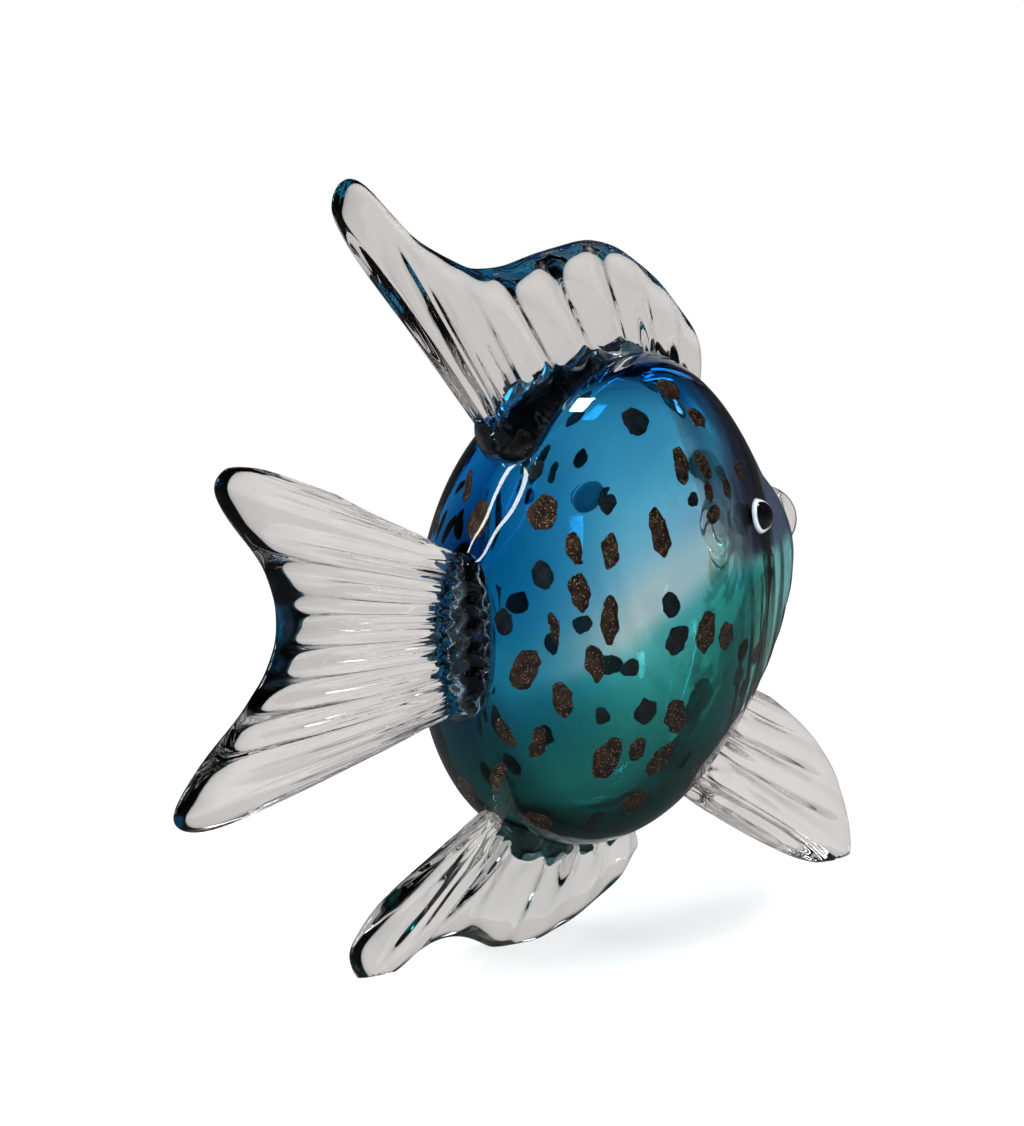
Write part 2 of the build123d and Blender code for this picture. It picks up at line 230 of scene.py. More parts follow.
def dress(piece, *nodes):
    """Puts a finished piece on the fish's one body, in place of its CAD nodes."""
    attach(piece, "root")
    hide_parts(*nodes)
    co, faces = np.array([v.co for v in piece.data.vertices]) / mm, len(piece.data.polygons)
    print(piece.name, "mm", co.min(0).round(1), co.max(0).round(1), faces, "faces")


# %% [markdown]
# ## Clear glass
#
# The fins, the lips and the body's outer gather are soda-lime glass, blown and pulled without a
# mould, so it is glossy everywhere and faintly grey through its depth. A path tracer bends light
# through it by its index, 1.5. The lamps' light has to reach the chips and the floor through it, so
# rays towards a lamp see a plain see-through film instead.
#
# Where a fin is squeezed onto the hot body, its foot is thick. The feet are tinted blue-grey and
# hold
# dark swirls, blue above and teal below: painted shade where the fins sit on the body.

# %% Clear glass
glass_index = 1.5
fin_tint = "#FCFBFB"
fin_depth_tint = "#F1F0EF"
fin_depth = 22 * mm
shadow_film = "#ECEBEC"
swirl_scale = 48.0
swirl_edge = (0.56, 0.47)
swirl_change = (45 * mm, 60 * mm)


def clear_glass(name, tint, depth_tint, depth, upper_swirl=None, lower_swirl=None):
    """Glass that takes on depth_tint over a path of depth, with swirls of painted shade where
    colours are given.
    """
    material, tree, out = new_material(name)
    glass = glass_surface(tree, linear(tint), glass_index)
    # The swirls are painted shade, blue above and teal below.
    if upper_swirl:
        place = position(tree)
        cloud = noise(tree, place, scale=swirl_scale, detail=2.0, Distortion=1.6)
        swirl = ramp_between(tree, cloud, *swirl_edge)
        level = ramp_between(tree, axes_of(tree, place)[2], *swirl_change)
        deep = mix_colour(tree, level, lower_swirl, upper_swirl)
        tree.links.new(mix_colour(tree, swirl, tint, deep), glass.inputs["Base Color"])
    path = add_node(tree, "ShaderNodeLightPath")
    film = add_node(tree, "ShaderNodeBsdfTransparent", Color=linear(shadow_film))
    both = mix_shader(tree, path.outputs["Is Shadow Ray"], glass.outputs[0], film.outputs[0])
    tree.links.new(both, out.inputs["Surface"])
    inside = add_node(
        tree, "ShaderNodeVolumeAbsorption", Color=linear(depth_tint), Density=1 / depth
    )
    tree.links.new(inside.outputs[0], out.inputs["Volume"])
    return material


casing_glass = clear_glass("polished_soda_lime_glass", "#FDFDFD", "#F4F4F5", 40 * mm)
fin_glass = clear_glass("pulled_soda_lime_glass", fin_tint, fin_depth_tint, fin_depth)
# The feet's glass: its blue-grey tint and dark swirls are painted shade where the fins sit on the
# body.
foot_glass = clear_glass(
    "foot_glass_painted_shade", "#9CBED2", fin_depth_tint, fin_depth, "#22405C", "#1E5054"
)
lip_glass = clear_glass("fire_polished_soda_lime_glass", fin_tint, fin_depth_tint, fin_depth)

# %% [markdown]
# ## The blown body
#
# The body is an egg pressed a little flat, widest behind its middle and drawn out to the mouth. Its
# sections are ovals, so ten of them along the fish, with a smooth curve through each of their three
# sizes, give the whole skin. The same function with a depth gives every layer under the skin.

# %% Sections of the body
body_back = -28.6 * mm
body_length = 114 * mm
body_height = 122 * mm
body_thickness = 73 * mm
belly_height = 21.6 * mm
body_middle = (body_back + body_length / 2, 0.0, belly_height + body_height / 2)

# Place along the body, crown, belly and half thickness, as shares.
body_sections = np.array(
    (
        (0.000, 0.628, 0.313, 0.138),
        (0.020, 0.667, 0.233, 0.212),
        (0.055, 0.720, 0.151, 0.293),
        (0.140, 0.846, 0.057, 0.411),
        (0.300, 0.954, 0.000, 0.493),
        (0.500, 1.000, 0.008, 0.499),
        (0.680, 0.946, 0.095, 0.427),
        (0.830, 0.792, 0.236, 0.333),
        (0.940, 0.700, 0.400, 0.225),
        (1.000, 0.625, 0.500, 0.112),
    )
)


def smooth_through(knots, rows, at):
    """The natural cubic curve through rows at knots, read at the places in at."""
    gap = np.diff(knots)
    count = len(knots)
    system = np.eye(count)
    wanted = np.zeros(rows.shape)
    for k in range(1, count - 1):
        system[k, k - 1 : k + 2] = gap[k - 1], 2 * (gap[k - 1] + gap[k]), gap[k]
        wanted[k] = 6 * ((rows[k + 1] - rows[k]) / gap[k] - (rows[k] - rows[k - 1]) / gap[k - 1])
    bend = np.linalg.solve(system, wanted)
    k = np.clip(np.searchsorted(knots, at) - 1, 0, count - 2)
    left, right, span = at - knots[k], knots[k + 1] - at, gap[k]
    left, right, span = (value[:, None] for value in (left, right, span))
    return (
        (bend[k] * right**3 + bend[k + 1] * left**3) / (6 * span)
        + (rows[k] / span - bend[k] * span / 6) * right
        + (rows[k + 1] / span - bend[k + 1] * span / 6) * left
    )


def section_sizes(depth, steps):
    """Place along X, middle height, half height and half thickness at steps down the body."""
    along, crown, belly, half = body_sections.T
    wall = depth * (2 * half) ** 0.5
    rows = np.stack(
        (
            body_back + depth + along * (body_length - 2 * depth),
            belly_height + (crown + belly) / 2 * body_height,
            (crown - belly) / 2 * body_height - wall,
            half * body_thickness - wall,
        ),
        axis=1,
    )
    reach = np.linalg.norm(np.diff(rows[:, [0, 2]], axis=0), axis=1)
    knots = np.concatenate(([0], np.cumsum(reach)))
    return smooth_through(knots, rows, np.linspace(0, knots[-1], steps))


# %% [markdown]
# Both ends are closed by a round cap, a few millimetres deep, which the tail's foot and the lips
# cover. A wall of the body is two such skins, with the inner one turned to face the hollow.

# %% Skins of the body
around = 144
cap_steps = 6
turn_around = np.linspace(0, 2 * pi, around, endpoint=False)


def skin_points(depth, front=None, steps=150, cap=3 * mm, nose=3 * mm):
    """Rings of points down one skin, with a round cap at each end. It can end early, at front."""
    sizes = section_sizes(depth, 400)
    if front is not None:
        sizes = sizes[sizes[:, 0] <= front]
    sizes = sizes[np.linspace(0, len(sizes) - 1, steps).round().astype(int)]
    first, last = sizes[0], sizes[-1]
    taper = (sizes[-1] - sizes[-2]) / (sizes[-1][0] - sizes[-2][0])
    rings = []
    for turn in np.linspace(pi / 2, 0, cap_steps, endpoint=False):
        x = first[0] - cap * sin(turn)
        rings.append((x, first[1], first[2] * cos(turn), first[3] * cos(turn)))
    rings += [tuple(row) for row in sizes]
    for turn in np.linspace(0, pi / 2, 2 * cap_steps + 1)[1:]:
        row = last + taper * nose * sin(turn) * (1 if front else 0)
        rings.append((last[0] + nose * sin(turn), row[1], row[2] * cos(turn), row[3] * cos(turn)))
    high_way, side_way = np.cos(turn_around), np.sin(turn_around)
    return np.array(
        [
            np.stack((np.full(around, x), half * side_way, middle + high * high_way), axis=1)
            for x, middle, high, half in rings[1:-1]
        ]
    )


def skin_faces(rings, start=0, inward=False):
    """Faces over rings of points, closed at both ends."""
    faces = []
    for ring in range(rings - 1):
        for side in range(around):
            a = start + ring * around + side
            b = start + ring * around + (side + 1) % around
            faces.append((a, a + around, b + around, b))
    faces.append(tuple(start + side for side in range(around)))
    faces.append(tuple(start + (rings - 1) * around + side for side in reversed(range(around))))
    return [face[::-1] for face in faces] if inward else faces


def ring_solid(name, rings, *materials):
    """A closed solid over rings of points, facing out."""
    piece = new_piece(name, np.concatenate(rings), skin_faces(len(rings)), *materials)
    outwards(piece)
    return piece


def wall_mesh(name, outer, inner, *materials):
    """A closed wall between two skins."""
    faces = skin_faces(len(outer)) + skin_faces(len(inner), outer.shape[0] * around, inward=True)
    points = np.concatenate((outer.reshape(-1, 3), inner.reshape(-1, 3)))
    return new_piece(name, points, faces, *materials)


# %% [markdown]
# The body's clear glass is one piece from the skin to the hollow, since its two gathers are fused.
# The head is nearly solid. Below the eye it keeps the upright furrows of the tool that drew it out,
# which bend what lies behind them into streaks.

# %% Clear casing
casing_wall = 4.0 * mm
colour_wall = 1.6 * mm
bubble_wall = 2.6 * mm
hollow_front = 50 * mm
hollow_nose = 14 * mm

furrow_pitch = 6.5 * mm
furrow_depth = 0.32 * mm
furrow_slant = 0.12
furrow_start = (40 * mm, 52 * mm)
furrow_end = (74 * mm, 82 * mm)
furrow_top = (78 * mm, 92 * mm)
furrow_edge = 8 * mm


def step_between(value, low, high):
    """0 below low, 1 above high, and smooth between."""
    share = np.clip((value - low) / (high - low), 0, 1)
    return share * share * (3 - 2 * share)


skin = skin_points(0.0)
hollow_depth = casing_wall + colour_wall + bubble_wall
hollow = skin_points(hollow_depth, hollow_front, 110, 2 * mm, hollow_nose)
x, y, z = skin[..., 0], skin[..., 1], skin[..., 2]
furrow = 0.5 - 0.5 * np.cos(2 * pi * (x + furrow_slant * (z - furrow_top[1])) / furrow_pitch)
furrow *= step_between(x, *furrow_start) * (1 - step_between(z, *furrow_top))
furrow *= 1 - step_between(x, *furrow_end)
skin[..., 1] -= np.sign(y) * furrow * furrow_depth * step_between(np.abs(y), 0, furrow_edge)

casing = wall_mesh("clear_casing_blown", skin, hollow, casing_glass)
dress(casing, "clear_casing", "inner_bubble")

# %% [markdown]
# ## The coloured films
#
# Between the two clear gathers lies a film of coloured glass: blue above, teal below, thin and
# nearly white where they meet in front, and thickest at the back, the crown and the belly. Glass on
# both sides of it has the same index, so the film doesn't bend light. It only takes some away at
# each of its two faces. Its shader is therefore see-through with a colour, and that colour comes
# from how thick the film is at each place.
#
# Light that comes through the whole body meets four faces, so each face's colour is pale. The stops
# below give it by the height over the line where blue turns to teal. That line falls towards the
# tail, and on the far flank it lies lower. The head is darker: nearly black above the eye's foot,
# and streaked below it.

# %% Film colours
gather_ends = (-60 * mm, 60 * mm)
gather_stops = (
    (-60 * mm, "#6ABCBA"),
    (60 * mm, "#84D0E8"),
    (-27 * mm, "#74C6C4"),
    (-13 * mm, "#88D8D6"),
    (-5 * mm, "#9CE4E6"),
    (2 * mm, "#F0FAFB"),
    (9 * mm, "#F4FBFC"),
    (17 * mm, "#D8F4FF"),
    (27 * mm, "#BAF0FF"),
    (37 * mm, "#A2E7FE"),
    (47 * mm, "#90DDF6"),
)
line_height = 89 * mm
line_slope = 0.55
line_front = 27 * mm
line_cloud = 20 * mm
far_drop = 40 * mm
far_paleness = 0.58
low_back_loss = 0.6
head_shift = 40 * mm
streak_reach = 14 * mm
streak_scale = (210.0, 90.0, 16.0)

# Where each share runs from 0 to 1: along X, across the fish, and by height.
ahead_band = (-4 * mm, 24 * mm)
back_band = (4 * mm, -28 * mm)
snout_band = (47 * mm, 57 * mm)
upper_head_band = (44 * mm, 50 * mm)
far_band = (-6 * mm, 6 * mm)
far_head_band = (0.0, 8 * mm)
low_band = (62 * mm, 36 * mm)
eye_foot_band = (90 * mm, 95 * mm)
crown_band = (126 * mm, 143 * mm)
streak_band = (0.49, 0.58)


def gather_material(name):
    """The coloured gather, blue above and teal below, as its two faces show it."""
    material, tree, out = new_material(name)
    place = position(tree)
    along, across, height = axes_of(tree, place)
    far = ramp_between(tree, across, *far_band)
    far = calculate(tree, "MULTIPLY", far, ramp_between(tree, along, *ahead_band))

    level = calculate(tree, "MINIMUM", along, line_front)
    over = calculate(tree, "MULTIPLY_ADD", level, -line_slope, height)
    over = calculate(tree, "SUBTRACT", over, line_height)
    over = calculate(tree, "MULTIPLY_ADD", far, far_drop, over)
    cloud = noise(tree, place, scale=24.0, detail=2.0, Roughness=0.5)
    over = calculate(tree, "MULTIPLY_ADD", cloud, line_cloud, over)
    colour = colour_stops(tree, over, *gather_ends, gather_stops)

    low = ramp_between(tree, height, *low_band)
    back = ramp_between(tree, along, *back_band)
    back = calculate(tree, "MULTIPLY_ADD", low, -low_back_loss, back)
    crown = ramp_between(tree, height, *crown_band)
    for share, tint in ((back, "#30B6D0"), (low, "#F0EEEE"), (crown, "#A0C0D4")):
        colour = mix_colour(tree, share, colour, tint, "MULTIPLY")

    stretched = add_node(tree, "ShaderNodeMapping", Vector=place, Scale=streak_scale).outputs[0]
    streak = noise(tree, stretched, scale=1.0, detail=2.0)
    head = calculate(tree, "MULTIPLY_ADD", streak, streak_reach, along)
    far_head = ramp_between(tree, across, *far_head_band)
    head = calculate(tree, "MULTIPLY_ADD", far_head, -head_shift, head)
    snout = ramp_between(tree, head, *snout_band)
    colour = mix_colour(tree, snout, colour, "#D6F4F0")
    streaked = calculate(tree, "MULTIPLY", ramp_between(tree, streak, *streak_band), snout)
    colour = mix_colour(tree, streaked, colour, "#9CB4AE", "MULTIPLY")
    above_eye = ramp_between(tree, height, *eye_foot_band)
    dark = calculate(tree, "MULTIPLY", ramp_between(tree, head, *upper_head_band), above_eye)
    colour = mix_colour(tree, dark, colour, "#A2A6B6")
    colour = mix_colour(tree, calculate(tree, "MULTIPLY", far, far_paleness), colour, "#FFFFFF")

    film = add_node(tree, "ShaderNodeBsdfTransparent", Color=colour)
    glass = glass_surface(tree, colour, 1.0)
    path = add_node(tree, "ShaderNodeLightPath")
    both = mix_shader(tree, path.outputs["Is Camera Ray"], film.outputs[0], glass.outputs[0])
    tree.links.new(both, out.inputs["Surface"])
    return material


blue_film = gather_material("blue_gather_glass")
teal_film = gather_material("teal_gather_glass")
seam_material, seam_tree, seam_out = new_material("film_seam_glass")
seam_film = add_node(seam_tree, "ShaderNodeBsdfTransparent", Color=linear("#FFFFFF"))
seam_tree.links.new(seam_film.outputs[0], seam_out.inputs["Surface"])

# %% [markdown]
# The two films are one shell, cut along the slanted line on which the CAD layers meet. Each half is
# closed again along the cut, so that both stay solids. Both films have the same shader, so the cut
# itself can't be seen.

# %% Film meshes
colour_split_back = 58 * mm
colour_split_front = 102 * mm
split_slope = (colour_split_front - colour_split_back) / body_length


def half_film(name, node, material, upper):
    """The part of the colour shell above or below the line where the CAD layers meet."""
    outer = skin_points(casing_wall, cap=1.5 * mm, nose=1.5 * mm)
    inner = skin_points(casing_wall + colour_wall, cap=1.0 * mm, nose=1.0 * mm)
    piece = wall_mesh(name, outer, inner, material, seam_material)
    shape = bmesh.new()
    shape.from_mesh(piece.data)
    cut = bmesh.ops.bisect_plane(
        shape,
        geom=shape.verts[:] + shape.edges[:] + shape.faces[:],
        plane_co=(body_back, 0, colour_split_back),
        plane_no=(-split_slope, 0, 1),
        clear_inner=upper,
        clear_outer=not upper,
    )
    rim = [item for item in cut["geom_cut"] if isinstance(item, bmesh.types.BMEdge)]
    for face in bmesh.ops.bridge_loops(shape, edges=rim)["faces"]:
        face.material_index = 1
    bmesh.ops.recalc_face_normals(shape, faces=shape.faces)
    shape.to_mesh(piece.data)
    shape.free()
    dress(piece, node)


half_film("blue_film", "blue_layer", blue_film, True)
half_film("teal_film", "teal_layer", teal_film, False)

# %% [markdown]
# ## Chips of copper glass
#
# The hot gather is rolled over crushed glass, and the chips sink in and soften. The brown ones hold
# copper crystals, which glitter. The others are nearly black. The CAD model says where each lies,
# so a Geometry Nodes tree puts one softened flake on each of its places: a point carries the
# flake's size and its two directions, and noise makes every outline different.

# %% Chip materials
crystal_scale = 3800.0
crystal_edge = (0.36, 0.2)
cloud_edge = (0.35, 0.65)


def chip_material(name, body, edge, glint_colour, glint_share):
    """Dark glass with crystals, of which a fixed share is painted bright as glints."""
    material, tree, out = new_material(name)
    place = position(tree)
    cloud = noise(tree, place, scale=420.0, detail=3.0)
    ground = mix_colour(tree, ramp_between(tree, cloud, *cloud_edge), edge, body)
    # Painted glints: a share of the crystals gets a bright glint colour, whatever way the light
    # falls on it.
    crystals = add_node(tree, "ShaderNodeTexVoronoi", Vector=place, Scale=crystal_scale)
    shine = ramp_between(tree, crystals.outputs["Distance"], *crystal_edge)
    pick = add_node(tree, "ShaderNodeSeparateColor", _0=crystals.outputs["Color"])
    picked = calculate(tree, "GREATER_THAN", pick.outputs[0], 1 - glint_share)
    shine = calculate(tree, "MULTIPLY", shine, picked)
    surface = add_node(
        tree,
        "ShaderNodeBsdfPrincipled",
        Base_Color=mix_colour(tree, shine, ground, glint_colour),
        Roughness=0.42,
        Specular_IOR_Level=0.1,
        Metallic=calculate(tree, "MULTIPLY", shine, 0.2),
    )
    tree.links.new(surface.outputs[0], out.inputs["Surface"])
    return material


# After the two tones of each glass come its painted glint colour and the share of crystals painted
# with it.
copper_glass = chip_material("copper_aventurine_glass", "#32231A", "#150E0A", "#F4CC98", 0.16)
dark_glass = chip_material("dark_frit_glass", "#0A1E26", "#060C10", "#2C4A54", 0.08)

# %% Chip places
def chip_places(node):
    """For each chip of a CAD node: its middle, its long and its thin way and its half sizes."""
    shape = bmesh.new()
    shape.from_mesh(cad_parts[node].data)
    bmesh.ops.remove_doubles(shape, verts=shape.verts, dist=1e-6)
    found = []
    for island in islands(shape):
        points = np.array([shape.verts[i].co for i in island])
        turns = np.linalg.svd(points - points.mean(0))[2]
        spread = (points - points.mean(0)) @ turns.T
        found.append((points.mean(0), turns[0], turns[2], (spread.max(0) - spread.min(0)) / 2))
    shape.free()
    return found


# %% Chip tree
def chip_tree(material):
    """A tree that turns places into softened flakes, with the outline's unevenness as an input."""
    tree, start, end = geometry_tree("softened_chips", ("Unevenness", 3.6 * mm))
    flake = add_node(tree, "GeometryNodeMeshIcoSphere", Radius=1.0, Subdivisions=4)
    turn = add_node(
        tree,
        "FunctionNodeAxesToRotation",
        {"primary_axis": "Z", "secondary_axis": "X"},
        _0=named(tree, "thin_way", "FLOAT_VECTOR"),
        _1=named(tree, "long_way", "FLOAT_VECTOR"),
    )
    placed = add_node(
        tree,
        "GeometryNodeInstanceOnPoints",
        Points=start.outputs[0],
        Instance=flake.outputs[0],
        Rotation=turn.outputs[0],
        Scale=named(tree, "half_size", "FLOAT_VECTOR"),
    )
    real = add_node(tree, "GeometryNodeRealizeInstances", _0=placed.outputs[0])
    place = add_node(tree, "GeometryNodeInputPosition").outputs[0]
    cloud = add_node(tree, "ShaderNodeTexNoise", Vector=place, Scale=230.0, Detail=2.0)
    push = calculate_vector(tree, "SUBTRACT", cloud.outputs["Color"], (0.5, 0.5, 0.5))
    lift = calculate_vector(tree, "PROJECT", push, named(tree, "thin_way", "FLOAT_VECTOR"))
    level = calculate_vector(tree, "SUBTRACT", push, lift)
    offset = calculate_vector(tree, "SCALE", level, Scale=start.outputs["Unevenness"])
    moved = add_node(tree, "GeometryNodeSetPosition", Geometry=real.outputs[0], Offset=offset)
    smooth = add_node(tree, "GeometryNodeSetShadeSmooth", Geometry=moved.outputs[0])
    painted = add_node(
        tree, "GeometryNodeSetMaterial", Geometry=smooth.outputs[0], Material=material
    )
    tree.links.new(painted.outputs[0], end.inputs[0])
    return tree


softened_share = 0.98


def scatter_chips(name, node, material):
    """One softened flake for each chip of the CAD node."""
    places = chip_places(node)
    piece = new_piece(name, [place[0] for place in places], [])
    for title, column, share in (
        ("long_way", 1, 1),
        ("thin_way", 2, 1),
        ("half_size", 3, softened_share),
    ):
        layer = piece.data.attributes.new(title, "FLOAT_VECTOR", "POINT")
        for number, place in enumerate(places):
            layer.data[number].vector = place[column] * share
    piece.modifiers.new("chips", "NODES").node_group = chip_tree(material)
    apply_modifiers(piece)
    dress(piece, node)
    print(len(places), "chips")


scatter_chips("copper_chips_softened", "copper_chips", copper_glass)
scatter_chips("dark_chips_softened", "dark_chips", dark_glass)

# %% [markdown]
# ## Pulled fins
#
# Each fin is a lump of clear glass, pressed between ribbed jaws and then pulled to its shape. A fin
# is told by its rays: where each starts on the body, where it ends on the edge and how thick it is.
# Thick rays are ridges and thin ones valleys. A smooth curve through the rays gives the blade, and
# its two ends are rounded as hot glass rounds itself.
#
# The rays are shares of each fin's own length, height and thickness. A row holds the foot's place
# along and up, the edge's place along and up, and the thickness. Before the thickness, the anal fin
# also has the edge's share of its lean, and the front fin the foot's and the edge's.

# %% Fin rays
def fin_rays(shares, start, length, low, height, thickness, lean=0.0):
    """Rays in metres: foot and edge, each as X, Y and Z, and the thickness."""
    foot_along, foot_up, edge_along, edge_up, *leans, thick = np.array(shares).T
    upright = np.zeros(len(thick))
    foot_lean, edge_lean = [upright, upright, *leans][-2:]
    rays = (
        start + foot_along * length,
        foot_lean * lean,
        low + foot_up * height,
        start + edge_along * length,
        edge_lean * lean,
        low + edge_up * height,
        thick * thickness,
    )
    return np.stack(rays, axis=1) * mm


dorsal_shares = (
    (0.019, 0.113, 0.000, 0.268, 0.292),
    (0.031, 0.113, 0.008, 0.366, 0.583),
    (0.046, 0.113, 0.038, 0.451, 0.875),
    (0.065, 0.113, 0.085, 0.535, 0.708),
    (0.085, 0.113, 0.142, 0.620, 0.958),
    (0.115, 0.120, 0.204, 0.690, 0.708),
    (0.146, 0.127, 0.265, 0.739, 1.000),
    (0.181, 0.141, 0.335, 0.761, 0.733),
    (0.219, 0.148, 0.404, 0.746, 1.000),
    (0.265, 0.148, 0.481, 0.725, 0.750),
    (0.312, 0.141, 0.550, 0.697, 1.000),
    (0.358, 0.113, 0.608, 0.690, 0.767),
    (0.400, 0.085, 0.658, 0.697, 0.950),
    (0.435, 0.056, 0.712, 0.732, 0.840),
    (0.462, 0.035, 0.781, 0.786, 0.800),
    (0.485, 0.021, 0.842, 0.859, 0.720),
    (0.504, 0.011, 0.896, 0.944, 0.640),
    (0.515, 0.004, 0.942, 1.000, 0.560),
    (0.527, 0.000, 0.981, 0.993, 0.500),
    (0.538, 0.000, 1.000, 0.937, 0.460),
    (0.665, 0.268, 0.992, 0.880, 0.480),
    (0.758, 0.423, 0.962, 0.796, 0.200),
)
tail_shares = (
    (0.490, 0.877, 0.721, 0.982, 0.210),
    (0.373, 0.805, 0.775, 0.996, 0.419),
    (0.235, 0.730, 0.819, 1.000, 0.480),
    (0.118, 0.661, 0.846, 0.988, 0.540),
    (0.000, 0.593, 0.866, 0.940, 0.700),
    (0.000, 0.568, 0.826, 0.855, 0.667),
    (0.000, 0.542, 0.779, 0.790, 1.000),
    (0.000, 0.517, 0.735, 0.724, 0.667),
    (0.000, 0.492, 0.706, 0.661, 1.000),
    (0.000, 0.467, 0.691, 0.602, 0.667),
    (0.000, 0.443, 0.686, 0.546, 1.000),
    (0.000, 0.417, 0.692, 0.492, 0.667),
    (0.000, 0.392, 0.706, 0.443, 1.000),
    (0.000, 0.367, 0.730, 0.395, 0.667),
    (0.000, 0.342, 0.763, 0.348, 1.000),
    (0.000, 0.318, 0.804, 0.299, 0.667),
    (0.000, 0.295, 0.851, 0.251, 1.000),
    (0.000, 0.273, 0.900, 0.205, 0.667),
    (0.000, 0.252, 0.946, 0.150, 0.952),
    (0.000, 0.233, 0.986, 0.095, 0.724),
    (0.000, 0.212, 0.998, 0.045, 0.762),
    (0.098, 0.190, 0.961, 0.008, 0.629),
    (0.216, 0.158, 0.873, 0.000, 0.438),
    (0.353, 0.117, 0.755, 0.025, 0.210),
)
anal_shares = (
    (0.052, 0.716, 0.000, 0.392, 0.114, 0.385),
    (0.068, 0.757, 0.040, 0.311, 0.157, 0.654),
    (0.089, 0.784, 0.094, 0.216, 0.200, 0.923),
    (0.125, 0.811, 0.172, 0.116, 0.243, 0.738),
    (0.161, 0.811, 0.266, 0.032, 0.286, 1.000),
    (0.208, 0.811, 0.344, -0.016, 0.314, 0.846),
    (0.260, 0.824, 0.427, -0.059, 0.343, 1.038),
    (0.312, 0.851, 0.505, -0.043, 0.371, 0.846),
    (0.365, 0.878, 0.594, 0.070, 0.429, 1.000),
    (0.406, 0.905, 0.682, 0.135, 0.543, 0.769),
    (0.438, 0.932, 0.771, 0.108, 0.714, 0.840),
    (0.458, 0.946, 0.844, 0.011, 0.886, 0.640),
    (0.474, 0.946, 0.901, -0.051, 0.971, 0.660),
    (0.484, 0.959, 0.958, -0.032, 1.000, 0.560),
    (0.495, 0.986, 1.000, 0.124, 0.943, 0.480),
    (0.510, 1.000, 0.994, 0.249, 0.800, 0.440),
    (0.594, 0.886, 0.953, 0.395, 0.629, 0.385),
    (0.688, 0.773, 0.885, 0.535, 0.486, 0.169),
)
front_shares = (
    (0.289, 0.368, 0.539, 0.147, 0.881, 1.000, 0.267),
    (0.158, 0.481, 0.658, 0.072, 0.595, 1.000, 0.600),
    (0.000, 0.642, 0.776, 0.004, 0.262, 0.929, 1.000),
    (0.020, 0.689, 0.875, -0.036, 0.226, 0.869, 0.778),
    (0.046, 0.736, 0.945, -0.023, 0.190, 0.774, 1.044),
    (0.072, 0.783, 0.987, 0.060, 0.143, 0.595, 0.800),
    (0.105, 0.830, 1.000, 0.170, 0.095, 0.357, 1.022),
    (0.145, 0.877, 0.991, 0.279, 0.036, 0.190, 0.778),
    (0.184, 0.921, 0.961, 0.404, -0.024, 0.000, 1.000),
    (0.230, 0.958, 0.908, 0.532, -0.071, -0.119, 0.778),
    (0.283, 0.985, 0.833, 0.638, -0.119, -0.190, 0.889),
    (0.355, 0.992, 0.745, 0.743, -0.179, -0.238, 0.600),
    (0.447, 0.970, 0.645, 0.849, -0.226, -0.262, 0.267),
)

# In millimetres.
dorsal_rays = fin_rays(dorsal_shares, start=58.5, length=-130, low=117, height=71, thickness=12)
tail_rays = fin_rays(tail_shares, start=-20, length=-102, low=46.6, height=80, thickness=10.5)
anal_rays = fin_rays(anal_shares, start=35, length=-96, low=0, height=37, thickness=13, lean=7)
front_rays = fin_rays(front_shares, start=46, length=76, low=0, height=53, thickness=9, lean=-8.4)

# %% [markdown]
# The blade's mesh is a grid: one way runs over the rays, the other round each ray's oval section.
# Every point remembers its ray, how far out it lies and which way its side faces, because the next
# step works from those. It also remembers how loose it is: from three rays in to the first and the
# last ray it gets stiffer, so that the tips stay smooth.

# %% Blade mesh
steps_per_ray = 10
around_ray = 84
section_power = 2.3
end_steps = 5
end_narrowing = 0.12
end_thinness = 0.03
foot_turn = 0.2
held_rays = 3.0


def blade_rows(rays, calm):
    """Rays at close steps, with a rounded end at each side. Calm evens out the ridges."""
    padded = np.pad(rays[:, 6], 1, mode="edge")
    even = (padded[:-2] + 2 * padded[1:-1] + padded[2:]) / 4
    rays = np.column_stack((rays[:, :6], rays[:, 6] + calm * (even - rays[:, 6])))
    knots = np.arange(len(rays), dtype=float)
    at = np.linspace(0, knots[-1], (len(rays) - 1) * steps_per_ray + 1)
    rows = smooth_through(knots, rays, at)
    ends = []
    for row, next_row in ((rows[0], rows[1]), (rows[-1], rows[-2])):
        away = row[:6] - next_row[:6]
        away = away / max(np.linalg.norm(away[:3]), np.linalg.norm(away[3:]), 1e-9)
        end = []
        for turn in np.linspace(0, pi / 2, end_steps + 1)[1:]:
            grown = row.copy()
            grown[:6] += away * row[6] / 2 * sin(turn)
            middle, half = (grown[:3] + grown[3:6]) / 2, (grown[3:6] - grown[:3]) / 2
            half = half * (1 - end_narrowing * (1 - cos(turn)))
            grown[:3], grown[3:6] = middle - half, middle + half
            grown[6] = row[6] * max(cos(turn), end_thinness)
            end.append(grown)
        ends.append(end)
    at = np.concatenate((np.full(end_steps, at[0]), at, np.full(end_steps, at[-1])))
    return np.array(ends[0][::-1] + list(rows) + ends[1]), at


